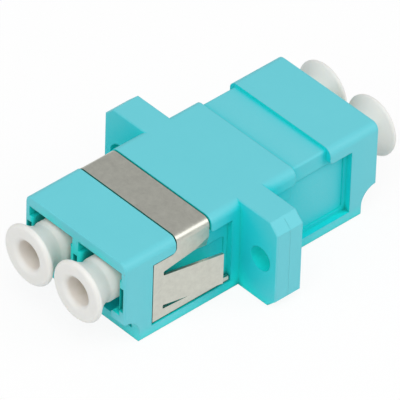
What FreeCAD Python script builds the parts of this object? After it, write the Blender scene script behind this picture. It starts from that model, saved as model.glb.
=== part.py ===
"""LC duplex fibre adapter with a metal panel clip and four dust caps.

Frame: X across the two ports, Y along the fibre axis, Z up.  The origin lies under the middle of
the flange, on the surface that the adapter rests on.  The latch side of the ports faces down.
The front half, which carries the clip, is the half at negative Y; the rear half is the same
moulding turned half a turn about Z.  Millimetres.
"""
import FreeCAD, Part
import math
import os

Vector = FreeCAD.Vector
X_AXIS = Vector(1, 0, 0)
Y_AXIS = Vector(0, 1, 0)
Z_AXIS = Vector(0, 0, 1)
ORIGIN = Vector(0, 0, 0)
CUT_MARGIN = 1.0            # how far a cutting tool runs past the face that it opens

# ---- ports, as an LC plug needs them
PORT_PITCH = 6.25           # between the two fibre axes
PORT_SIDE = 4.65            # square bay that takes the plug nose
PORT_ROOM_H = 4.725         # shoulder to roof
LATCH_CHANNEL_W = 3.1       # gap between the latch shoulders
LATCH_EAR_W = 4.6           # room under the shoulders for the latch ears
LATCH_EAR_H = 1.75
SHOULDER_T = 0.775          # thickness of a latch shoulder
SHOULDER_LEN = 4.2          # length of a latch shoulder, from the mouth inwards
GUIDE_RELIEF = 0.425        # extra width each side, under the roof at the mouth
GUIDE_RELIEF_H = 1.05       # height of that wider part
MOUTH_POCKET = 2.5          # depth of the relief and of the core-outs at the mouth
LEAD_IN_R = 0.4             # rounding of the mouth's upright edges
CORE_OUT_W = 0.5            # slots that lighten the thick walls at the mouth
CORE_OUT_H = 2.55
CORE_OUT_RISE = 0.5         # from the shoulder's top to the foot of the slot
CORE_OUT_SKIN = 0.2         # skin between the outer slots and the bay

# ---- walls of a housing half
HALF_LEN = 14.7             # flange mid-plane to end face
FLOOR_T = 1.0
ROOF_T = 1.05
PORT_SKIN = 0.2             # wall left between the bay and the bottom of the tang pocket
TANG_POCKET = 0.15          # second step of the side recess
SIDE_RECESS = 0.6           # first step of the side recess
TOP_EDGE_R = 0.8
BOTTOM_EDGE_R = 0.2
END_EDGE_BREAK = 0.12       # edge break round the mouth end
SCALLOP_R = 1.75            # thumb relief under each end
PARTITION_T = 1.25          # wall between bay and sleeve holder

# ---- recess for the clip (distances from the flange mid-plane)
RECESS_NEAR = 2.45
COLLAR_LEN = 3.15           # full section left at the mouth
RECESS_FOOT = 1.05
RECESS_HEAD = 1.55          # body left above the side recess
BAND_NEAR = 4.9
BAND_W = 4.05
BAND_DEPTH = 0.28
BAND_CORNER_R = 0.35        # rounding where the band recess meets the side recess
POCKET_MARGIN = 0.4         # ledge left around the tang pocket
POCKET_STEP_Z = 5.9         # lower head of the pocket beside the flange
POCKET_CORNER_R = 0.3

# ---- flange
SCREW_PITCH = 18.0
SCREW_D = 2.4
EAR_LAND = 0.8              # plastic left outside each screw hole
FLANGE_HALF_T = 1.5
FLANGE_CHAMFER = 1.0
FLANGE_EDGE_BREAK = 0.1

# ---- sleeve holder and split sleeves
HOLDER_PLATE_T = 1.2
HOLDER_PLATE_BORDER = 0.25  # plate edge past the bays, each side
HOLDER_PLATE_H = 5.2
HOLDER_FIT = 0.05           # clearance round the plate and its tubes
HOLDER_TUBE_D = 2.74
HOLDER_TUBE_REACH = 5.2     # tube end from the mid-plane
HOLDER_LEAD_IN = 0.3
FERRULE_D = 1.25
FERRULE_ENTRY_FIT = 0.06
SLEEVE_LEN = 6.8
SLEEVE_WALL = 0.19
SLEEVE_SLIT = 0.16
SLEEVE_GRIP = 0.0015        # the sleeve is this much under the ferrule's radius
SLEEVE_FLOAT = 0.06         # the sleeve floats in its holder by this much all round

# ---- panel clip, bent from one strip
CLIP_T = 0.25
CLIP_INSET = 0.1            # side plate behind the body side
CLIP_BEND_R = 0.5           # inside radius over the body's edges
CLIP_EDGE_GAP = 0.07        # gap between clip and recess edges
CLIP_COLUMN_W = 1.25
CLIP_LOWER_STRIP_H = 1.0
CLIP_SLOT_H = 0.42
CLIP_TANG_H = 3.3
CLIP_TANG_LEN = 6.0
CLIP_TANG_ANGLE = 11.9
CLIP_NECK_RISE = 0.5        # climb of the neck's lower edge
CLIP_LANCE_LEN = 1.7        # small flap pressed in under the neck
CLIP_LANCE_H = 0.6
CLIP_LANCE_LEAN = 0.33      # how far its free edge goes in
CLIP_SLOT_R = 0.12          # rounding at the blind ends of the slots

# ---- dust caps
CAP_STANDOUT = 2.7          # head face past the end face
CAP_HEAD_R = 2.95
CAP_RIM_T = 0.55
CAP_RIM_BREAK = 0.18
CAP_FLARE_LEN = 1.75
CAP_FLARE_CHORDS = 3        # cones that stand for the trumpet's curve
CAP_WAIST_R = 1.95
CAP_STEM_LEAD = 0.25        # length of the small cone from waist to stem
CAP_SIDE_GAP = 0.25         # stem to bay wall
CAP_TIP_GAP = 1.15          # stem tip to partition
CAP_TIP_BREAK = 0.3
CAP_TUBE_FIT = 0.05         # bore over the holder's tube
CAP_BORE_ROOM = 0.6         # bore past the tube's end
CAP_WELL_R = 1.47
CAP_WELL_STEP = 1.1
CAP_WELL_INNER_R = 1.1
CAP_WELL_DEPTH = 4.2

# ---- sizes that follow
SIDE_WALL = PORT_SKIN + TANG_POCKET + SIDE_RECESS
BODY_W = PORT_PITCH + PORT_SIDE + 2 * SIDE_WALL
SHOULDER_UNDER = FLOOR_T + LATCH_EAR_H
SHOULDER_TOP = SHOULDER_UNDER + SHOULDER_T
ROOF_UNDER = SHOULDER_TOP + PORT_ROOM_H
BODY_H = ROOF_UNDER + ROOF_T
FLANGE_SPAN = SCREW_PITCH + SCREW_D + 2 * EAR_LAND
AXIS_Z = SHOULDER_TOP + PORT_SIDE / 2
RECESS_FAR = HALF_LEN - COLLAR_LEN
RECESS_TOP = BODY_H - RECESS_HEAD
BAND_FAR = BAND_NEAR + BAND_W
HOLDER_PLATE_W = PORT_PITCH + PORT_SIDE + 2 * HOLDER_PLATE_BORDER
BAY_END = HOLDER_PLATE_T + HOLDER_FIT + PARTITION_T
PORT_SIDES = {"left": -PORT_PITCH / 2, "right": PORT_PITCH / 2}


def on_xz(y):
    """Placer for outlines drawn across the fibre axis, at one station along Y."""
    return lambda u, v: Vector(u, y, v)


def on_yz(x):
    """Placer for outlines drawn on a body side."""
    return lambda u, v: Vector(x, u, v)


def on_xy(z):
    """Placer for outlines drawn in plan."""
    return lambda u, v: Vector(u, v, z)


def outline(corners, place):
    """Face inside the corners (u, v, radius); a corner with a radius is rounded by an arc."""
    runs = []
    for index, (u, v, radius) in enumerate(corners):
        here = Vector(u, v, 0)
        back_u, back_v, _ = corners[index - 1]
        next_u, next_v, _ = corners[(index + 1) % len(corners)]
        back = (Vector(back_u, back_v, 0) - here).normalize()
        ahead = (Vector(next_u, next_v, 0) - here).normalize()
        half_turn = back.getAngle(ahead) / 2
        setback = radius / math.tan(half_turn)
        bisector = (back + ahead).normalize()
        crown = here + bisector * (radius / math.sin(half_turn) - radius)
        runs.append((here + back * setback, crown, here + ahead * setback, radius > 0))
    edges = []
    for index, (start, crown, end, rounded) in enumerate(runs):
        if rounded:
            edges.append(Part.Arc(*[place(p.x, p.y) for p in (start, crown, end)]).toShape())
        following = runs[(index + 1) % len(runs)][0]
        if end.distanceToPoint(following) > 1e-7:
            edges.append(Part.LineSegment(place(end.x, end.y), place(following.x, following.y)).toShape())
    return Part.Face(Part.Wire(edges))


def box_between(low, high):
    """Box given by its lowest and highest corners."""
    size = high - low
    return Part.makeBox(size.x, size.y, size.z, low)


def rod(radius, centre, direction, length):
    """Cylinder that starts at centre and runs along direction."""
    return Part.makeCylinder(radius, length, centre, direction)


def mirrored_x(shape):
    """The same shape on the other side of the middle plane between the ports."""
    return shape.mirror(ORIGIN, X_AXIS)


def turned_to_rear(shape):
    """The same shape at the other end: half a turn about Z."""
    copy = shape.copy()
    copy.rotate(ORIGIN, Z_AXIS, 180)
    return copy


def fuse_all(shapes):
    """One clean solid out of several that meet."""
    first, rest = shapes[0], shapes[1:]
    return first.multiFuse(rest).removeSplitter()


# ------------------------------------------------------------------ housing half

def barrel():
    """Plain outer block of a half, with rounded upper edges and an eased end."""
    half = BODY_W / 2
    section = outline([(-half, 0, BOTTOM_EDGE_R), (half, 0, BOTTOM_EDGE_R),
                       (half, BODY_H, TOP_EDGE_R), (-half, BODY_H, TOP_EDGE_R)], on_xz(-HALF_LEN))
    block = section.extrude(Y_AXIS * HALF_LEN)
    end_edges = [e for e in block.Edges if e.BoundBox.YMax < -HALF_LEN + 1e-6]
    return block.makeChamfer(END_EDGE_BREAK, end_edges)


def flange_half():
    """Half of the mounting flange, with its four outer corners cut off."""
    reach = FLANGE_SPAN / 2
    inner = reach - FLANGE_CHAMFER
    plate = outline([(-inner, 0, 0), (inner, 0, 0), (reach, FLANGE_CHAMFER, 0),
                     (reach, BODY_H - FLANGE_CHAMFER, 0), (inner, BODY_H, 0), (-inner, BODY_H, 0),
                     (-reach, BODY_H - FLANGE_CHAMFER, 0), (-reach, FLANGE_CHAMFER, 0)],
                    on_xz(-FLANGE_HALF_T)).extrude(Y_AXIS * FLANGE_HALF_T)
    face_edges = [e for e in plate.Edges if e.BoundBox.YMax < -FLANGE_HALF_T + 1e-6]
    return plate.makeChamfer(FLANGE_EDGE_BREAK, face_edges)


def screw_hole(x):
    """Fixing hole through a flange ear."""
    start = Vector(x, -FLANGE_HALF_T - CUT_MARGIN, BODY_H / 2)
    return rod(SCREW_D / 2, start, Y_AXIS, FLANGE_HALF_T + 2 * CUT_MARGIN)


def port_keyhole(x):
    """Bay of one port and, behind the shoulders, the windows that the latch ears spring into."""
    bay = PORT_SIDE / 2
    channel = LATCH_CHANNEL_W / 2
    ear = LATCH_EAR_W / 2
    corners = [(x - ear, FLOOR_T, 0), (x + ear, FLOOR_T, 0),
               (x + ear, SHOULDER_UNDER, 0), (x + channel, SHOULDER_UNDER, 0),
               (x + channel, SHOULDER_TOP, LEAD_IN_R / 2), (x + bay, SHOULDER_TOP, 0),
               (x + bay, ROOF_UNDER, 0), (x - bay, ROOF_UNDER, 0),
               (x - bay, SHOULDER_TOP, 0), (x - channel, SHOULDER_TOP, LEAD_IN_R / 2),
               (x - channel, SHOULDER_UNDER, 0), (x - ear, SHOULDER_UNDER, 0)]
    start = -HALF_LEN - CUT_MARGIN
    keyhole = outline(corners, on_xz(start)).extrude(Y_AXIS * (HALF_LEN + CUT_MARGIN - BAY_END))
    windows = box_between(Vector(x - ear, -HALF_LEN + SHOULDER_LEN, FLOOR_T),
                          Vector(x + ear, -BAY_END, SHOULDER_TOP))
    return keyhole.fuse(windows)


def mouth_lead_in(x):
    """Flare that rounds the upright edges of one mouth, from the shoulders to the relief."""
    bay = PORT_SIDE / 2
    flare = bay + LEAD_IN_R
    bulge = LEAD_IN_R * (1 - math.sqrt(0.5))
    mouth = -HALF_LEN
    inner = mouth + LEAD_IN_R
    place = on_xy(SHOULDER_TOP)
    left = Part.Arc(place(x - flare, mouth), place(x - bay - bulge, mouth + bulge), place(x - bay, inner))
    right = Part.Arc(place(x + bay, inner), place(x + bay + bulge, mouth + bulge), place(x + flare, mouth))
    outer = Part.makePolygon([place(x + flare, mouth), place(x + flare, mouth - CUT_MARGIN),
                              place(x - flare, mouth - CUT_MARGIN), place(x - flare, mouth)])
    inner_line = Part.LineSegment(place(x - bay, inner), place(x + bay, inner))
    wire = Part.Wire([left.toShape(), inner_line.toShape(), right.toShape()] + outer.Edges)
    return Part.Face(wire).extrude(Z_AXIS * (ROOF_UNDER - GUIDE_RELIEF_H - SHOULDER_TOP))


def guide_relief(x):
    """Wider, shallow part of one mouth just under the roof."""
    half = PORT_SIDE / 2 + GUIDE_RELIEF
    return box_between(Vector(x - half, -HALF_LEN - CUT_MARGIN, ROOF_UNDER - GUIDE_RELIEF_H),
                       Vector(x + half, -HALF_LEN + MOUTH_POCKET, ROOF_UNDER))


def core_outs():
    """Upright slots in the end face that thin the middle wall and both outer walls."""
    outer = PORT_PITCH / 2 + PORT_SIDE / 2 + CORE_OUT_SKIN + CORE_OUT_W / 2
    foot = SHOULDER_TOP + CORE_OUT_RISE
    half = CORE_OUT_W / 2
    return [box_between(Vector(x - half, -HALF_LEN - CUT_MARGIN, foot),
                        Vector(x + half, -HALF_LEN + MOUTH_POCKET, foot + CORE_OUT_H))
            for x in (-outer, 0, outer)]


def thumb_relief():
    """Cut under the end: the floor stops short and the side walls are scalloped."""
    half = BODY_W / 2 + CUT_MARGIN
    scallop = rod(SCALLOP_R, Vector(-half, -HALF_LEN, FLOOR_T), X_AXIS, 2 * half)
    floor = box_between(Vector(-half, -HALF_LEN - CUT_MARGIN, -CUT_MARGIN),
                        Vector(half, -HALF_LEN + SCALLOP_R, FLOOR_T))
    return scallop.fuse(floor)


def side_recess():
    """Recess that a side plate of the clip lies in, open upwards to the band's recess."""
    floor_x = BODY_W / 2 - SIDE_RECESS
    above = BODY_H + CUT_MARGIN
    first_step = outline([(-RECESS_FAR, RECESS_FOOT, 0), (-RECESS_NEAR, RECESS_FOOT, 0),
                          (-RECESS_NEAR, RECESS_TOP, 0), (-BAND_NEAR, RECESS_TOP, BAND_CORNER_R),
                          (-BAND_NEAR, above, 0), (-BAND_FAR, above, 0),
                          (-BAND_FAR, RECESS_TOP, BAND_CORNER_R), (-RECESS_FAR, RECESS_TOP, 0)],
                         on_yz(floor_x)).extrude(X_AXIS * (SIDE_RECESS + CUT_MARGIN))
    far = -RECESS_FAR + POCKET_MARGIN
    near = -RECESS_NEAR - POCKET_MARGIN
    foot = RECESS_FOOT + POCKET_MARGIN
    head = RECESS_TOP - POCKET_MARGIN
    second_step = outline([(far, foot, POCKET_CORNER_R), (near, foot, POCKET_CORNER_R),
                           (near, POCKET_STEP_Z, POCKET_CORNER_R), (-BAND_NEAR, POCKET_STEP_Z, 0),
                           (-BAND_NEAR, head, 0), (far, head, POCKET_CORNER_R)],
                          on_yz(floor_x - TANG_POCKET)).extrude(X_AXIS * (TANG_POCKET + CUT_MARGIN))
    return first_step.fuse(second_step)


def band_recess():
    """Recess across the roof and over both upper edges; the clip's band lies in it."""
    half = BODY_W / 2 + CUT_MARGIN
    around = box_between(Vector(-half, -BAND_FAR, RECESS_TOP - BAND_CORNER_R),
                         Vector(half, -BAND_NEAR, BODY_H + CUT_MARGIN))
    core_half = BODY_W / 2 - SIDE_RECESS
    core_top = BODY_H - BAND_DEPTH
    corner_r = CLIP_BEND_R - (SIDE_RECESS - CLIP_INSET - CLIP_T)
    core = outline([(-core_half, 0, 0), (core_half, 0, 0),
                    (core_half, core_top, corner_r), (-core_half, core_top, corner_r)],
                   on_xz(-BAND_FAR)).extrude(Y_AXIS * BAND_W)
    return around.cut(core)


def holder_seat():
    """Pocket at the mating face for the holder's plate, and the holes for its tubes."""
    half = HOLDER_PLATE_W / 2 + HOLDER_FIT
    rise = HOLDER_PLATE_H / 2 + HOLDER_FIT
    pocket = box_between(Vector(-half, -HOLDER_PLATE_T - HOLDER_FIT, AXIS_Z - rise),
                         Vector(half, CUT_MARGIN, AXIS_Z + rise))
    holes = [rod(HOLDER_TUBE_D / 2 + HOLDER_FIT, Vector(x, -BAY_END - CUT_MARGIN, AXIS_Z), Y_AXIS,
                 BAY_END + CUT_MARGIN) for x in PORT_SIDES.values()]
    return [pocket] + holes


def housing_half():
    """One moulded half of the adapter, drawn at the front."""
    block = barrel().fuse(flange_half())
    recess = side_recess()
    tools = [recess, mirrored_x(recess), band_recess(), thumb_relief()] + core_outs() + holder_seat()
    for x in PORT_SIDES.values():
        tools += [port_keyhole(x), mouth_lead_in(x), guide_relief(x)]
    for x in (-SCREW_PITCH / 2, SCREW_PITCH / 2):
        tools.append(screw_hole(x))
    for tool in tools:
        block = block.cut(tool)
    return block.removeSplitter()


# ------------------------------------------------------------------ inside

def holder():
    """Plate with two tubes that carry the split sleeves, drawn for the front."""
    half = HOLDER_PLATE_W / 2
    rise = HOLDER_PLATE_H / 2
    plate = box_between(Vector(-half, -HOLDER_PLATE_T, AXIS_Z - rise), Vector(half, 0, AXIS_Z + rise))
    outer = HOLDER_TUBE_D / 2
    seat = FERRULE_D / 2 - SLEEVE_GRIP + SLEEVE_WALL + SLEEVE_FLOAT
    entry = FERRULE_D / 2 + FERRULE_ENTRY_FIT
    seat_len = SLEEVE_LEN / 2 + SLEEVE_FLOAT
    solids = [plate]
    bores = []
    for x in PORT_SIDES.values():
        tip = Vector(x, -HOLDER_TUBE_REACH, AXIS_Z)
        solids.append(rod(outer, tip, Y_AXIS, HOLDER_TUBE_REACH))
        bores.append(rod(seat, Vector(x, -seat_len, AXIS_Z), Y_AXIS, seat_len + CUT_MARGIN))
        bores.append(rod(entry, tip - Y_AXIS * CUT_MARGIN, Y_AXIS, HOLDER_TUBE_REACH + CUT_MARGIN))
        bores.append(Part.makeCone(entry + HOLDER_LEAD_IN, entry, HOLDER_LEAD_IN, tip, Y_AXIS))
    body = fuse_all(solids)
    for bore in bores:
        body = body.cut(bore)
    return body


def split_sleeve(x):
    """Zirconia alignment sleeve with its lengthwise slit facing up."""
    inner = FERRULE_D / 2 - SLEEVE_GRIP
    outer = inner + SLEEVE_WALL
    start = Vector(x, -SLEEVE_LEN / 2, AXIS_Z)
    tube = rod(outer, start, Y_AXIS, SLEEVE_LEN).cut(rod(inner, start, Y_AXIS, SLEEVE_LEN))
    slit = box_between(Vector(x - SLEEVE_SLIT / 2, -SLEEVE_LEN / 2, AXIS_Z),
                       Vector(x + SLEEVE_SLIT / 2, SLEEVE_LEN / 2, AXIS_Z + outer + CUT_MARGIN))
    return tube.cut(slit)


# ------------------------------------------------------------------ panel clip

def clip_strip():
    """Bent strip before it is trimmed: a band over the roof and a plate down each side."""
    outer_half = BODY_W / 2 - CLIP_INSET
    inner_half = outer_half - CLIP_T
    inner_top = BODY_H - BAND_DEPTH
    foot = RECESS_FOOT + CLIP_EDGE_GAP
    start = -RECESS_FAR + CLIP_EDGE_GAP
    length = RECESS_FAR - RECESS_NEAR - 2 * CLIP_EDGE_GAP
    bend_out = CLIP_BEND_R + CLIP_T
    outer = outline([(-outer_half, foot, 0), (outer_half, foot, 0),
                     (outer_half, inner_top + CLIP_T, bend_out),
                     (-outer_half, inner_top + CLIP_T, bend_out)], on_xz(start))
    inner = outline([(-inner_half, foot - CUT_MARGIN, 0), (inner_half, foot - CUT_MARGIN, 0),
                     (inner_half, inner_top, CLIP_BEND_R),
                     (-inner_half, inner_top, CLIP_BEND_R)], on_xz(start))
    return outer.extrude(Y_AXIS * length).cut(inner.extrude(Y_AXIS * length))


def clip_levels():
    """Heights of the edges on a side plate, from its foot upwards."""
    foot = RECESS_FOOT + CLIP_EDGE_GAP
    lower_slot = foot + CLIP_LOWER_STRIP_H
    tang_foot = lower_slot + CLIP_SLOT_H
    tang_head = tang_foot + CLIP_TANG_H
    neck_edge = tang_head + CLIP_SLOT_H
    return foot, lower_slot, tang_foot, tang_head, neck_edge


def clip_side_outline():
    """Prism through both side plates that holds what is left of them after blanking."""
    foot, lower_slot, tang_foot, tang_head, neck_edge = clip_levels()
    far = -RECESS_FAR + CLIP_EDGE_GAP
    near = -RECESS_NEAR - CLIP_EDGE_GAP
    root = far + CLIP_COLUMN_W
    band_far = -BAND_FAR + CLIP_EDGE_GAP
    band_near = -BAND_NEAR - CLIP_EDGE_GAP
    shelf = RECESS_TOP - CLIP_EDGE_GAP
    above = BODY_H + CUT_MARGIN
    half = BODY_W / 2
    lance = band_near - CLIP_LANCE_LEN
    neck = neck_edge + CLIP_NECK_RISE
    corners = [(far, foot, 0), (near, foot, 0), (near, lower_slot, 0),
               (root, lower_slot, CLIP_SLOT_R), (root, tang_foot, CLIP_SLOT_R),
               (root + CLIP_T, tang_foot, 0), (root + CLIP_T, tang_head, 0),
               (root, tang_head, CLIP_SLOT_R), (root, neck_edge, CLIP_SLOT_R),
               (lance, neck, 0), (lance, neck + CLIP_LANCE_H, 0),
               (band_near, neck + CLIP_LANCE_H, 0), (band_near, above, 0),
               (band_far, above, 0), (band_far, shelf, BAND_CORNER_R + CLIP_EDGE_GAP), (far, shelf, 0)]
    return outline(corners, on_yz(-half)).extrude(X_AXIS * BODY_W)


def clip_tang():
    """Tongue on the +X plate, bent outwards at its root so that it catches behind the panel."""
    _, _, tang_foot, tang_head, _ = clip_levels()
    root = -RECESS_FAR + CLIP_EDGE_GAP + CLIP_COLUMN_W
    inner_x = BODY_W / 2 - CLIP_INSET - CLIP_T
    slope = math.radians(CLIP_TANG_ANGLE)
    along = Vector(math.sin(slope), math.cos(slope), 0)
    across = Vector(math.cos(slope), -math.sin(slope), 0)
    start = Vector(inner_x, root, tang_foot)
    corners = [start, start + along * CLIP_TANG_LEN,
               start + along * CLIP_TANG_LEN + across * CLIP_T, start + across * CLIP_T]
    wire = Part.makePolygon(corners + [start])
    return Part.Face(wire).extrude(Z_AXIS * (tang_head - tang_foot))


def clip_lance():
    """Small flap under the neck on the +X plate, pressed inwards so that it grips the recess."""
    _, _, _, _, neck_edge = clip_levels()
    outer_x = BODY_W / 2 - CLIP_INSET
    foot = neck_edge + CLIP_NECK_RISE
    head = foot + CLIP_LANCE_H
    end = -BAND_NEAR - CLIP_EDGE_GAP
    corners = [(outer_x, head, 0), (outer_x - CLIP_LANCE_LEAN, foot, 0),
               (outer_x - CLIP_LANCE_LEAN - CLIP_T, foot, 0), (outer_x - CLIP_T, head, 0)]
    return outline(corners, on_xz(end - CLIP_LANCE_LEN)).extrude(Y_AXIS * CLIP_LANCE_LEN)


def panel_clip():
    """Spring clip over the front half: blanked, bent over the roof, tongues bent outwards."""
    trimmed = clip_strip().common(clip_side_outline())
    tang = clip_tang()
    lance = clip_lance()
    return fuse_all([trimmed, tang, mirrored_x(tang), lance, mirrored_x(lance)])


# ------------------------------------------------------------------ dust caps

def trumpet_points(rim_end, flare_end):
    """Outline points of the flare: an arc that leaves the rim and runs out along the waist."""
    drop = CAP_HEAD_R - CAP_WAIST_R
    sweep_r = (drop ** 2 + CAP_FLARE_LEN ** 2) / (2 * drop)
    whole_turn = math.asin(CAP_FLARE_LEN / sweep_r)
    points = []
    for step in range(CAP_FLARE_CHORDS + 1):
        turn = whole_turn * (1 - step / CAP_FLARE_CHORDS)
        radius = CAP_WAIST_R + sweep_r * (1 - math.cos(turn))
        points.append((radius, flare_end - sweep_r * math.sin(turn), 0))
    return points


def cap_section():
    """Half section of a dust cap for the front, with its axis along Y at x = 0."""
    face = -HALF_LEN - CAP_STANDOUT
    rim_end = face + CAP_RIM_T
    flare_end = rim_end + CAP_FLARE_LEN
    stem_r = PORT_SIDE / 2 - CAP_SIDE_GAP
    tip = -BAY_END - CAP_TIP_GAP
    bore_r = HOLDER_TUBE_D / 2 + CAP_TUBE_FIT
    bore_end = -HOLDER_TUBE_REACH - CAP_BORE_ROOM
    corners = [(CAP_WELL_R, face, 0), (CAP_HEAD_R - CAP_RIM_BREAK, face, 0),
               (CAP_HEAD_R, face + CAP_RIM_BREAK, 0)]
    corners += trumpet_points(rim_end, flare_end)
    corners += [(stem_r, flare_end + CAP_STEM_LEAD, 0), (stem_r, tip - CAP_TIP_BREAK, 0),
                (stem_r - CAP_TIP_BREAK, tip, 0), (bore_r, tip, 0),
                (bore_r, bore_end, 0), (0, bore_end, 0), (0, face + CAP_WELL_DEPTH, 0),
                (CAP_WELL_INNER_R, face + CAP_WELL_DEPTH, 0),
                (CAP_WELL_INNER_R, face + CAP_WELL_STEP, 0), (CAP_WELL_R, face + CAP_WELL_STEP, 0)]
    return outline(corners, on_xy(AXIS_Z))


def dust_cap(x):
    """Push-in cap: flared head with a blind well, stem in the bay, bore over the holder's tube."""
    cap = cap_section().revolve(Vector(0, 0, AXIS_Z), Y_AXIS, 360)
    cap.translate(X_AXIS * x)
    return cap


# ------------------------------------------------------------------ assembly

def make_nodes():
    """Every piece by name."""
    half = housing_half()
    insert = holder()
    nodes = {
        "housing_front": half,
        "housing_rear": turned_to_rear(half),
        "sleeve_holder_front": insert,
        "sleeve_holder_rear": turned_to_rear(insert),
        "panel_clip": panel_clip(),
    }
    for side, x in PORT_SIDES.items():
        nodes["split_sleeve_" + side] = split_sleeve(x)
        nodes["dust_cap_front_" + side] = dust_cap(x)
        nodes["dust_cap_rear_" + side] = turned_to_rear(dust_cap(-x))
    return nodes


os.makedirs("parts", exist_ok=True)
for name, shape in make_nodes().items():
    solid = shape.Solids[0]
    solid.exportStep(os.path.join("parts", name + ".step"))
    print(name, len(shape.Solids), "solid", round(solid.Volume, 2), "mm3", solid.isValid())
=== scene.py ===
"""Looks of the LC duplex fibre adapter: moulded aqua housing, bent steel clip, white dust caps.

Frame as in the CAD, in metres: X across the two ports, Y along the fibres, Z up from the surface
that the adapter rests on.  The front, with the clip, is at negative Y.
"""
import math
import bmesh
import bpy
import numpy as np
from mathutils import Matrix, Vector


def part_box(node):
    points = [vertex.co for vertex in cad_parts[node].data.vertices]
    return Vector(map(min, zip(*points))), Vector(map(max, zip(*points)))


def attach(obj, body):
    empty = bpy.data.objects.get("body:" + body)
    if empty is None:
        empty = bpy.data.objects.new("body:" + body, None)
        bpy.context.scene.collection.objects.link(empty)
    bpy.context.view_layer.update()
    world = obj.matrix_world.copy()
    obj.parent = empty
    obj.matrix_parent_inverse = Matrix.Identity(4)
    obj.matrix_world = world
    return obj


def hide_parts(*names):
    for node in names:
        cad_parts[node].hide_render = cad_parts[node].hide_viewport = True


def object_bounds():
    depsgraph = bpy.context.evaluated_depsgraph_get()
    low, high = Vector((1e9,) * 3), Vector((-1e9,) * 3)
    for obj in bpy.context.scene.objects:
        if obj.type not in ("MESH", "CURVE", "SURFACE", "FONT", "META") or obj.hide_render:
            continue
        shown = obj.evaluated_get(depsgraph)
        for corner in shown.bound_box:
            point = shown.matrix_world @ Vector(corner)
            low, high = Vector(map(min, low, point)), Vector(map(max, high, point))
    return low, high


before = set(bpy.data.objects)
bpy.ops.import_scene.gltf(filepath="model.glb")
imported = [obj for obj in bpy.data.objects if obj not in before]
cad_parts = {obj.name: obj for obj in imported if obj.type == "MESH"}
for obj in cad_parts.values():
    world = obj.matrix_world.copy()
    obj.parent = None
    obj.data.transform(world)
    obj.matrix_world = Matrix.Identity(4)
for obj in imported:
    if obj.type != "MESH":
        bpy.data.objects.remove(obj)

CAD_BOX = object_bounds()
MM = 0.001

# ---- welding and shading
WELD_CAD = 0.001 * MM               # points of a solid's facets closer than this are one
WELD_POLE = 0.0005 * MM             # the same for the rings of a turned surface
FLAT_TURN = math.radians(0.4)       # facets that turn less than this are one flat face
SHARP_TURN = math.radians(30)       # shading breaks where faces turn more than this
OPENNESS_RAYS = 8                   # rays that look for walls round a point
EDGE_RAYS = 6                       # rays that look for an edge to soften

# ---- clip
CLIP_DRAW = 0.1 * MM                # play added between the stamping and its recess
CLIP_SHEET = 0.25 * MM              # thickness of the strip
CLIP_PLATE_X = 6.3 * MM             # outside of a side plate
CLIP_SHELF = 7.68 * MM              # head of the column
CLIP_SHELF_R = 0.42 * MM            # rounding between column and band
CLIP_BAND_FAR = -8.88 * MM          # the band's edge towards the port's mouth
CLIP_BAND_NEAR = -4.97 * MM         # and its edge towards the flange
CLIP_STRIP_HEAD = 2.12 * MM         # head of the lower strip
CLIP_STRIP_CUT = 0.5 * MM           # drop of the lower strip's slanted end
NECK_TURN_Y = -6.67 * MM            # where the neck starts to climb,
NECK_FOOT = 6.76 * MM               # its height there
NECK_HEAD = 7.36 * MM               # and at the band
NECK_FLAP_DROP = 1.15 * MM          # flap folded in under the climbing edge: drop at the band,
NECK_FLAP_LEAN = 0.3 * MM           # lean inwards
NECK_FLAP_SHEET = 0.12 * MM         # and thickness
SAME_PLACE = 0.005 * MM             # points of the solid this close to a line lie on it

# ---- moulded housing
PLASTIC_EDGE_R = 0.12 * MM          # softening of moulded edges
SEAM_HALF = 1.5 * PLASTIC_EDGE_R    # strip on each side of the halves' seam
ROOF_LEVEL = 9.1 * MM               # above it the halves are flush and their seam can't be seen
AQUA_POLISH = 0.3                   # open faces are this much less rough than hidden ones

# ---- dust caps
CAP_TURN_STEPS = 96
ARC_STEPS = 10
FLARE_STEPS = 24
CAP_RIM_R = 0.34 * MM               # rounding of the head's rim, front
CAP_RIM_BACK_R = 0.14 * MM          # and back,
CAP_RIM_BACK_TURN = (5, 50)         # which runs between these angles, in degrees
CAP_FLARE_LEN = 1.8 * MM
CAP_FLARE_POWER = 1.75
CAP_WAIST_R = 1.95 * MM             # where the flare ends
CAP_STEM_R = 2.075 * MM
CAP_STEM_LEAD = 0.25 * MM           # slope between waist and stem
CAP_TIP_R = 0.3 * MM
CAP_BORE_R = 1.42 * MM              # bore from behind, over the holder's tube
CAP_BORE_DEPTH = 2.15 * MM
CAP_WELL_MOUTH_R = 0.5 * MM         # rounding of the well's mouth
CAP_WELL_R = 1.36 * MM              # the well just inside it,
CAP_WELL_TAPER = 1.0 * MM           # down to this depth,
CAP_WELL_INNER_R = 1.02 * MM        # then narrower
CAP_WELL_INNER = 2.2 * MM           # from this depth
CAP_WELL_DEPTH = 4.2 * MM           # to its floor

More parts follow.
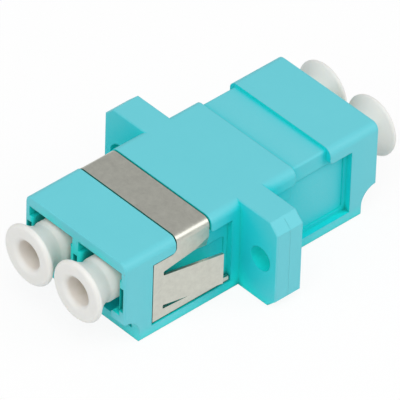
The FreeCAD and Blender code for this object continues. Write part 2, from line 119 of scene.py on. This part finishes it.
# ---- colours; where there are two, the finish drifts between them
AQUA_OPEN = ((0.142, 0.605, 0.680, 1), (0.130, 0.585, 0.660, 1))
AQUA_PAINTED_SHADE = (0.002, 0.600, 0.660, 1)        # painted shade beside walls and under steps
AQUA_PAINTED_BOUNCE = (0.001, 0.780, 0.750, 1)      # painted bounce light in the ports' mouths
AQUA_PAINTED_SLOT_SHADE = (0.001, 0.270, 0.240, 1)        # painted shade in the narrowest gaps
STEEL = ((0.455, 0.455, 0.405, 1), (0.745, 0.745, 0.665, 1))
CAP_OUTSIDE = ((0.755, 0.755, 0.725, 1), (0.805, 0.805, 0.780, 1))
CAP_PAINTED_WAIST_LIGHT = (0.865, 0.815, 0.755, 1)        # painted warm light over the shade between head and housing
# painted shade in the well, dark tan
CAP_PAINTED_WELL_SHADE = (0.365, 0.325, 0.190, 1)
HOLDER = ((0.62, 0.60, 0.50, 1), (0.70, 0.68, 0.58, 1))
CERAMIC = ((0.80, 0.80, 0.77, 1), (0.86, 0.86, 0.84, 1))
WHITE = (1, 1, 1, 1)
FLOOR_GREY = (0.8, 0.8, 0.8, 1)

# ---- studio
FLOOR_HALF = 1.5                    # half width of the floor, in metres
FLOOR_DROP = 0.02 * MM              # gap under the adapter, so that the two never share a plane
FLOOR_GLOW = 1.02                   # brightness of the floor where it is plain white,
FLOOR_GLOW_SHARE = 0.88             # and its share; the rest takes the shadow
ROOM_LIGHT = 0.55                   # plain light from all sides
ROOM_SEEN = 1.0                     # the room where the eye looks past the adapter
# name, azimuth and elevation in degrees, distance and size in metres, watts, strength of highlights
LAMPS = (
    ("key", 46, 60, 0.5, 0.35, 1.0, 1.0),
    ("fill", 0, 20, 0.6, 0.4, 0.65, 1.0),
    ("rim", 130, 34, 0.5, 0.3, 0.55, 3.0),
)

# ---- view, angles in degrees, lens and sensor in millimetres
VIEW_AZIMUTH = 46.41
VIEW_ELEVATION = 39.83
VIEW_ROLL = 1.94
VIEW_DISTANCE = 632.9 * MM
VIEW_LENS = 661.5
VIEW_SENSOR = 36
VIEW_AIM = Vector((-0.11, -0.17, 4.665)) * MM
VIEW_RANGE = (0.05, 20)             # nearest and furthest that is seen, in metres


# ------------------------------------------------------------------ node helpers

def empty_tree(owner):
    """The node tree of a material or world, with nothing in it."""
    owner.use_nodes = True
    owner.node_tree.nodes.clear()
    return owner.node_tree


def new_material(name):
    """Material with a Principled shader on its output, its node tree and the shader."""
    material = bpy.data.materials.new(name)
    tree = empty_tree(material)
    output = tree.nodes.new("ShaderNodeOutputMaterial")
    shader = tree.nodes.new("ShaderNodeBsdfPrincipled")
    tree.links.new(shader.outputs["BSDF"], output.inputs["Surface"])
    return material, tree, shader


def fill_in(tree, node, values):
    """Set the node's inputs: one given as a socket is linked, another gets its value."""
    for name, value in values.items():
        if isinstance(value, bpy.types.NodeSocket):
            tree.links.new(value, node.inputs[name])
        else:
            node.inputs[name].default_value = value


def add_node(tree, kind, inputs=None, **settings):
    """A node with its settings and inputs filled in."""
    node = tree.nodes.new(kind)
    for name, value in settings.items():
        setattr(node, name, value)
    fill_in(tree, node, inputs or {})
    return node


def work_out(tree, operation, *values):
    """Result of a Math node."""
    return add_node(tree, "ShaderNodeMath", dict(enumerate(values)), operation=operation).outputs[0]


def object_place(tree, stretch=(1, 1, 1)):
    """Object coordinates, stretched along the axes."""
    place = add_node(tree, "ShaderNodeTexCoord")
    return add_node(tree, "ShaderNodeMapping",
                    {"Vector": place.outputs["Object"], "Scale": stretch}).outputs["Vector"]


def grain(tree, where, waves_per_mm, detail=3.0, roughness=0.55):
    """Noise with so many waves to the millimetre."""
    return add_node(tree, "ShaderNodeTexNoise",
                    {"Vector": where, "Scale": waves_per_mm / MM, "Detail": detail,
                     "Roughness": roughness}).outputs["Fac"]


def spread(tree, value, low, high):
    """The 0 to 1 value spread from low to high."""
    return add_node(tree, "ShaderNodeMapRange",
                    {"Value": value, "From Min": 0.0, "From Max": 1.0,
                     "To Min": low, "To Max": high}).outputs["Result"]


def openness(tree, reach, low, high, own_shape):
    """0 where walls within reach leave less than low of the sky, 1 where they leave over high."""
    seen = add_node(tree, "ShaderNodeAmbientOcclusion", {"Distance": reach},
                    samples=OPENNESS_RAYS, only_local=own_shape).outputs["AO"]
    return add_node(tree, "ShaderNodeMapRange",
                    {"Value": seen, "From Min": low, "From Max": high}).outputs["Result"]


def mix_colours(tree, share, first, second):
    """First colour where share is 0, second where it is 1."""
    node = add_node(tree, "ShaderNodeMix", data_type="RGBA")
    fill_in(tree, node, {0: share, 6: first, 7: second})
    return node.outputs[2]


def bump(tree, height, strength, depth, edge_r):
    """Normal of a surface with that relief, and with edges rounded by edge_r, or sharp at 0."""
    relief = {"Height": height, "Strength": strength, "Distance": depth}
    if edge_r:
        soft = add_node(tree, "ShaderNodeBevel", {"Radius": edge_r}, samples=EDGE_RAYS)
        relief["Normal"] = soft.outputs["Normal"]
    return add_node(tree, "ShaderNodeBump", relief).outputs["Normal"]


# ------------------------------------------------------------------ finishes

def aqua_plastic():
    """Moulded aqua PBT, satin; painted shade and bounce light in its colour: paler on open faces,
    deeper between walls, bright green in the ports' mouths and dark green in slots.

    Edges are softened everywhere but on the roof along the seam, where the halves are flush.
    """
    material, tree, shader = new_material("aqua_plastic")
    where = object_place(tree)
    pale = mix_colours(tree, grain(tree, where, waves_per_mm=0.25), *AQUA_OPEN)
    # painted shade: the colour deepens to a redless teal where the housing's own walls close in
    open_face = openness(tree, reach=12 * MM, low=0.72, high=0.985, own_shape=True)
    wide = mix_colours(tree, open_face, AQUA_PAINTED_SHADE, pale)
    # painted bounce light: brighter green where walls within 3 mm close in, as in the ports' mouths
    out_of_pocket = openness(tree, reach=3 * MM, low=0.4, high=0.72, own_shape=False)
    sunk = mix_colours(tree, out_of_pocket, AQUA_PAINTED_BOUNCE, wide)
    # painted shade: dark green in the narrowest gaps
    out_of_slot = openness(tree, reach=1.2 * MM, low=0.1, high=0.62, own_shape=False)
    satin = spread(tree, grain(tree, where, waves_per_mm=2.0), 0.66, 0.76)
    place = add_node(tree, "ShaderNodeSeparateXYZ", {0: where})
    by_seam = work_out(tree, "COMPARE", place.outputs["Y"], 0.0, SEAM_HALF)
    on_roof = work_out(tree, "GREATER_THAN", place.outputs["Z"], ROOF_LEVEL)
    flush = work_out(tree, "MULTIPLY", by_seam, on_roof)
    edge_r = work_out(tree, "MULTIPLY_ADD", flush, -PLASTIC_EDGE_R, PLASTIC_EDGE_R)
    skin = grain(tree, where, waves_per_mm=9.0, detail=4.0)
    fill_in(tree, shader, {
        "Base Color": mix_colours(tree, out_of_slot, AQUA_PAINTED_SLOT_SHADE, sunk),
        "Roughness": work_out(tree, "MULTIPLY_ADD", open_face, -AQUA_POLISH, satin),
        "Normal": bump(tree, skin, strength=0.35, depth=0.006 * MM, edge_r=edge_r),
        "IOR": 1.45, "Specular IOR Level": 0.36})
    return material


def spring_steel():
    """Cold-rolled stainless strip: fine lines along the strip, cloudy tone, worn satin."""
    material, tree, shader = new_material("spring_steel")
    along = object_place(tree, stretch=(0.12, 1.0, 0.12))
    cloud = grain(tree, object_place(tree), waves_per_mm=1.8, detail=6.0, roughness=0.75)
    lines = grain(tree, along, waves_per_mm=14.0)
    fill_in(tree, shader, {
        "Base Color": mix_colours(tree, cloud, *STEEL),
        "Metallic": 1.0,
        "Roughness": spread(tree, cloud, 0.24, 0.50),
        "Normal": bump(tree, lines, strength=0.5, depth=0.004 * MM, edge_r=0)})
    return material


def cap_plastic():
    """Soft white polyethylene: slightly see-through, faint moulding marks, a painted dark tan shade
    in the well and painted warm light at the waist.
    """
    material, tree, shader = new_material("cap_plastic")
    where = object_place(tree)
    outside = mix_colours(tree, grain(tree, where, waves_per_mm=0.6), *CAP_OUTSIDE)
    # painted warm light over the shade between cap head and housing
    out_of_waist = openness(tree, reach=4 * MM, low=0.2, high=0.85, own_shape=False)
    skin = mix_colours(tree, out_of_waist, CAP_PAINTED_WAIST_LIGHT, outside)
    # painted shade: dark tan deep in the well
    out_of_well = openness(tree, reach=6 * MM, low=0.03, high=0.24, own_shape=True)
    marks = grain(tree, where, waves_per_mm=5.0)
    fill_in(tree, shader, {
        "Base Color": mix_colours(tree, out_of_well, CAP_PAINTED_WELL_SHADE, skin),
        "Roughness": spread(tree, grain(tree, where, waves_per_mm=1.6), 0.38, 0.5),
        "Normal": bump(tree, marks, strength=0.3, depth=0.006 * MM, edge_r=0.05 * MM),
        "Subsurface Weight": 0.3, "Subsurface Radius": (1.0, 0.9, 0.75),
        "Subsurface Scale": 0.5 * MM, "IOR": 1.5})
    return material


def holder_plastic():
    """Natural, slightly yellow engineering plastic of the sleeve holders."""
    material, tree, shader = new_material("holder_plastic")
    where = object_place(tree)
    marks = grain(tree, where, waves_per_mm=8.0)
    fill_in(tree, shader, {
        "Base Color": mix_colours(tree, grain(tree, where, waves_per_mm=0.8), *HOLDER),
        "Roughness": spread(tree, grain(tree, where, waves_per_mm=2.0), 0.4, 0.55),
        "Normal": bump(tree, marks, strength=0.3, depth=0.004 * MM, edge_r=0.05 * MM)})
    return material


def zirconia():
    """Ground white ceramic of the split sleeves, with faint grinding rings round the bore."""
    material, tree, shader = new_material("zirconia")
    cloud = grain(tree, object_place(tree), waves_per_mm=1.2)
    rings = grain(tree, object_place(tree, stretch=(0.1, 1.0, 0.1)), waves_per_mm=10.0)
    fill_in(tree, shader, {
        "Base Color": mix_colours(tree, cloud, *CERAMIC),
        "Roughness": spread(tree, rings, 0.15, 0.28),
        "Normal": bump(tree, rings, strength=0.2, depth=0.002 * MM, edge_r=0.02 * MM),
        "IOR": 2.1})
    return material


# ------------------------------------------------------------------ pieces from the CAD

def put_in_scene(name, data):
    """Object of that name with those data, in the scene."""
    thing = bpy.data.objects.new(name, data)
    bpy.context.scene.collection.objects.link(thing)
    return thing


def place_piece(mesh, node, body):
    """Object of that mesh, named as it is, in place of the CAD node and riding on the body."""
    piece = put_in_scene(mesh.name, mesh)
    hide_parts(node)
    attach(piece, body)
    return piece


def clip_drawn_in(points):
    """Stamped outline with more play: each edge of a plate or of the band moves in by CLIP_DRAW.

    Points on a straight edge move square to it, those on the round between column and band move
    away from its centre, and the head of the lower strip's end drops to a slant.
    """
    x, y, z = points.T
    low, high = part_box("panel_clip")
    centre_y, centre_z = CLIP_BAND_FAR - CLIP_SHELF_R, CLIP_SHELF + CLIP_SHELF_R

    def at(value, place):
        return np.abs(value - place) < SAME_PLACE

    beyond = z > centre_z - SAME_PLACE
    step_y = (at(y, low.y) * 1.0 + (at(y, CLIP_BAND_FAR) & beyond) - at(y, CLIP_BAND_NEAR)
              - (at(y, high.y) & (z < CLIP_STRIP_HEAD + SAME_PLACE)))
    step_z = at(z, low.z) * 1.0 - (at(z, CLIP_SHELF) & (y < centre_y + SAME_PLACE))
    rounded = ((y > centre_y + SAME_PLACE) & (y < CLIP_BAND_FAR + SAME_PLACE)
               & (z < centre_z - SAME_PLACE) & (z > CLIP_SHELF - SAME_PLACE))
    step_y = np.where(rounded, (y - centre_y) / CLIP_SHELF_R, step_y)
    step_z = np.where(rounded, (z - centre_z) / CLIP_SHELF_R, step_z)
    slant = at(y, high.y) & at(z, CLIP_STRIP_HEAD)
    return np.column_stack((x, y + CLIP_DRAW * step_y,
                            z + CLIP_DRAW * step_z - CLIP_STRIP_CUT * slant))


def neck_webs():
    """Wedge under each neck, flush with its plate, and the flap folded in under the wedge.

    The wedge is a right triangle in the plate's plane, extruded through the sheet, whose long
    side carries the neck's lower edge up to the band.  The flap is a second triangle on that
    long side, its free corner lower and further in.  The left side mirrors the right in X.
    """
    near = CLIP_BAND_NEAR - CLIP_DRAW
    wedge = np.array([(CLIP_PLATE_X, NECK_TURN_Y, NECK_FOOT),
                      (CLIP_PLATE_X, NECK_TURN_Y, NECK_HEAD),
                      (CLIP_PLATE_X, near, NECK_HEAD)])
    flap = np.array([wedge[0], wedge[2],
                     (CLIP_PLATE_X - NECK_FLAP_LEAN, near, NECK_HEAD - NECK_FLAP_DROP)])
    right = np.concatenate((wedge, wedge - (CLIP_SHEET, 0, 0),
                            flap, flap - (NECK_FLAP_SHEET, 0, 0)))
    points = np.concatenate((right, right * (-1, 1, 1)))
    starts = np.arange(0, len(points), 6)[:, None, None]
    ends = (starts + [(0, 1, 2), (5, 4, 3)]).reshape(-1, 3)
    sides = (starts + [(0, 3, 4, 1), (1, 4, 5, 2), (2, 5, 3, 0)]).reshape(-1, 4)
    mesh = bpy.data.meshes.new("neck_webs")
    mesh.from_pydata(points, [], ends.tolist() + sides.tolist())
    return mesh


def welded_copy(node, name, finish, reshape=None, added=None):
    """The node's own shape as one welded skin, its loose triangles merged and flat ones joined.

    Reshape gives the points new places, and added is a mesh that becomes part of the piece.
    """
    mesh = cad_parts[node].data.copy()
    mesh.name = name
    if reshape:
        points = np.empty(len(mesh.vertices) * 3)
        mesh.vertices.foreach_get("co", points)
        mesh.vertices.foreach_set("co", reshape(points.reshape(-1, 3)).ravel())
    work = bmesh.new()
    work.from_mesh(mesh)
    bmesh.ops.remove_doubles(work, verts=work.verts, dist=WELD_CAD)
    bmesh.ops.dissolve_limit(work, angle_limit=FLAT_TURN, verts=work.verts, edges=work.edges)
    if added:
        before = len(work.faces)
        work.from_mesh(added)
        bmesh.ops.recalc_face_normals(work, faces=work.faces[before:])
    work.to_mesh(mesh)
    work.free()
    mesh.materials.clear()
    mesh.materials.append(finish)
    mesh.shade_flat()
    return place_piece(mesh, node, "adapter")


# ------------------------------------------------------------------ dust caps

def arc(centre, radius, start, end):
    """Points on a circle round centre, from one angle in degrees to the other, both included."""
    turn = np.linspace(math.radians(start), math.radians(end), ARC_STEPS + 1)
    return np.column_stack((centre[0] + radius * np.cos(turn), centre[1] + radius * np.sin(turn)))


def revolved(name, profile, centre, outward):
    """Surface of a closed profile turned about an axis along Y.

    Profile rows are (radius, distance inwards from the head's face), and centre is the middle of
    that face.  A point at turn a lies at x = centre + radius * cos a, z = centre + radius * sin a,
    y = centre - outward * distance, and rows with no radius close to a single point.
    """
    radius, depth = profile.T
    turn = np.linspace(0, 2 * np.pi, CAP_TURN_STEPS, endpoint=False)
    grid_r, grid_a = np.meshgrid(radius, turn, indexing="ij")
    grid_y = np.broadcast_to(depth[:, None], grid_r.shape)
    points = np.stack((centre[0] + grid_r * np.cos(grid_a), centre[1] - outward * grid_y,
                       centre[2] + grid_r * np.sin(grid_a)), axis=-1)
    rows, columns = grid_r.shape
    row, column = np.meshgrid(np.arange(rows - 1), np.arange(columns), indexing="ij")
    here = row * columns + column
    beside = row * columns + (column + 1) % columns
    faces = np.stack((here, beside, beside + columns, here + columns), axis=-1).reshape(-1, 4)
    mesh = bpy.data.meshes.new(name)
    mesh.from_pydata(points.reshape(-1, 3), [], faces.tolist())
    work = bmesh.new()
    work.from_mesh(mesh)
    bmesh.ops.remove_doubles(work, verts=work.verts, dist=WELD_POLE)
    bmesh.ops.recalc_face_normals(work, faces=work.faces)
    work.to_mesh(mesh)
    work.free()
    mesh.shade_smooth()
    mesh.set_sharp_from_angle(angle=SHARP_TURN)
    return mesh


def cap_profile(head_r, length):
    """Closed half section: well, rounded rim, trumpet flare, stem, tip and the bore behind.

    The flare's radius is the waist's plus the rest of the rim's, which falls off along the flare
    as (1 - share of its length) to the power CAP_FLARE_POWER.
    """
    flare_start = CAP_RIM_R + CAP_RIM_BACK_R
    flare_end = flare_start + CAP_FLARE_LEN
    start_r = head_r - CAP_RIM_BACK_R * (1 - math.cos(math.radians(CAP_RIM_BACK_TURN[1])))
    share = np.linspace(0, 1, FLARE_STEPS + 1)
    flare = np.column_stack((CAP_WAIST_R + (start_r - CAP_WAIST_R) * (1 - share) ** CAP_FLARE_POWER,
                             flare_start + share * CAP_FLARE_LEN))
    back = length - CAP_BORE_DEPTH
    return np.vstack((
        [(0, CAP_WELL_DEPTH), (CAP_WELL_INNER_R, CAP_WELL_DEPTH),
         (CAP_WELL_INNER_R, CAP_WELL_INNER), (CAP_WELL_R, CAP_WELL_TAPER)],
        arc((CAP_WELL_R + CAP_WELL_MOUTH_R, CAP_WELL_MOUTH_R), CAP_WELL_MOUTH_R, 180, 270),
        arc((head_r - CAP_RIM_R, CAP_RIM_R), CAP_RIM_R, -90, 0),
        arc((head_r - CAP_RIM_BACK_R, CAP_RIM_R), CAP_RIM_BACK_R, *CAP_RIM_BACK_TURN),
        flare,
        [(CAP_STEM_R, flare_end + CAP_STEM_LEAD)],
        arc((CAP_STEM_R - CAP_TIP_R, length - CAP_TIP_R), CAP_TIP_R, 0, 90),
        [(CAP_BORE_R, length), (CAP_BORE_R, back), (0, back)]))


def dust_cap(end, side, outward, finish):
    """Push-in cap in place of its CAD node, as wide and as long; outward is its way along Y."""
    node = f"dust_cap_{end}_{side}"
    low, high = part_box(node)
    face = ((low.x + high.x) / 2, high.y if outward > 0 else low.y, (low.z + high.z) / 2)
    profile = cap_profile((high.z - low.z) / 2, high.y - low.y)
    mesh = revolved(f"cap_{end}_{side}", profile, face, outward)
    mesh.materials.append(finish)
    place_piece(mesh, node, f"cap_{end}_{side}")


# ------------------------------------------------------------------ assembly

housing_finish = aqua_plastic()
for end in ("front", "rear"):
    welded_copy("housing_" + end, "moulded_half_" + end, housing_finish)
clip = welded_copy("panel_clip", "bent_clip", spring_steel(), clip_drawn_in, neck_webs())
clip.data.shade_smooth()
clip.data.set_sharp_from_angle(angle=SHARP_TURN)
clip.modifiers.new("level_faces", "WEIGHTED_NORMAL").keep_sharp = True

cap_finish = cap_plastic()
for end, outward in (("front", -1), ("rear", 1)):
    for side in ("left", "right"):
        dust_cap(end, side, outward, cap_finish)

inner_finish = {"sleeve_holder": holder_plastic(), "split_sleeve": zirconia()}
for name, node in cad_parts.items():
    for start, finish in inner_finish.items():
        if name.startswith(start):
            node.data.materials.clear()
            node.data.materials.append(finish)


# ------------------------------------------------------------------ studio

def from_side(azimuth, elevation):
    """Unit vector from the adapter to that side, in degrees: 0 is the front, 90 the right."""
    azimuth, elevation = math.radians(azimuth), math.radians(elevation)
    return Vector((math.sin(azimuth) * math.cos(elevation),
                   -math.cos(azimuth) * math.cos(elevation), math.sin(elevation)))


def studio_floor():
    """Pale floor that the eye, gloss and glass see as white but for the adapter's shadow."""
    material = bpy.data.materials.new("studio_floor")
    tree = empty_tree(material)
    output = add_node(tree, "ShaderNodeOutputMaterial")
    path = add_node(tree, "ShaderNodeLightPath").outputs
    seen = work_out(tree, "MAXIMUM", path["Is Camera Ray"], path["Is Glossy Ray"])
    seen = work_out(tree, "MAXIMUM", seen, path["Is Transmission Ray"])
    matt = add_node(tree, "ShaderNodeBsdfDiffuse", {"Color": FLOOR_GREY})
    glow = add_node(tree, "ShaderNodeEmission", {"Color": WHITE, "Strength": FLOOR_GLOW})
    blend = add_node(tree, "ShaderNodeMixShader",
                     {0: work_out(tree, "MULTIPLY", seen, FLOOR_GLOW_SHARE),
                      1: matt.outputs[0], 2: glow.outputs[0]})
    tree.links.new(blend.outputs[0], output.inputs["Surface"])

    corners = FLOOR_HALF * np.array([(-1, -1, 0), (1, -1, 0), (1, 1, 0), (-1, 1, 0)])
    mesh = bpy.data.meshes.new("floor")
    mesh.from_pydata(corners + (0, 0, CAD_BOX[0][2] - FLOOR_DROP), [], [(0, 1, 2, 3)])
    mesh.materials.append(material)
    put_in_scene("floor", mesh)


def studio_world():
    """Soft white room: plain grey light on the object, white where the eye looks past it."""
    world = bpy.data.worlds.new("studio")
    bpy.context.scene.world = world
    tree = empty_tree(world)
    output = add_node(tree, "ShaderNodeOutputWorld")
    path = add_node(tree, "ShaderNodeLightPath").outputs
    room = add_node(tree, "ShaderNodeBackground", {"Color": WHITE, "Strength": ROOM_LIGHT})
    seen = add_node(tree, "ShaderNodeBackground", {"Color": WHITE, "Strength": ROOM_SEEN})
    blend = add_node(tree, "ShaderNodeMixShader",
                     {0: path["Is Camera Ray"], 1: room.outputs[0], 2: seen.outputs[0]})
    tree.links.new(blend.outputs[0], output.inputs["Surface"])


def soft_lamp(name, azimuth, elevation, distance, size, power, shine):
    """Square area lamp that faces the adapter from that side; shine scales its highlights."""
    light = bpy.data.lights.new(name, "AREA")
    light.shape = "SQUARE"
    light.size = size
    light.energy = power
    light.specular_factor = shine
    lamp = put_in_scene(name, light)
    way = from_side(azimuth, elevation)
    lamp.location = way * distance
    lamp.rotation_euler = way.to_track_quat("Z", "Y").to_euler()


def camera():
    """Long-lens view from above the clip's side, turned a little about its axis."""
    data = bpy.data.cameras.new("camera")
    data.lens = VIEW_LENS
    data.sensor_width = VIEW_SENSOR
    data.clip_start, data.clip_end = VIEW_RANGE
    eye = put_in_scene("camera", data)
    away = from_side(VIEW_AZIMUTH, VIEW_ELEVATION)
    level = from_side(VIEW_AZIMUTH + 90, 0)
    roll = math.radians(VIEW_ROLL)
    right = level * math.cos(roll) + away.cross(level) * math.sin(roll)
    eye.matrix_world = (Matrix.Translation(VIEW_AIM + away * VIEW_DISTANCE)
                        @ Matrix((right, away.cross(right), away)).transposed().to_4x4())
    bpy.context.scene.camera = eye


studio_floor()
studio_world()
for lamp in LAMPS:
    soft_lamp(*lamp)
camera()
bpy.context.scene.view_settings.view_transform = "Standard"
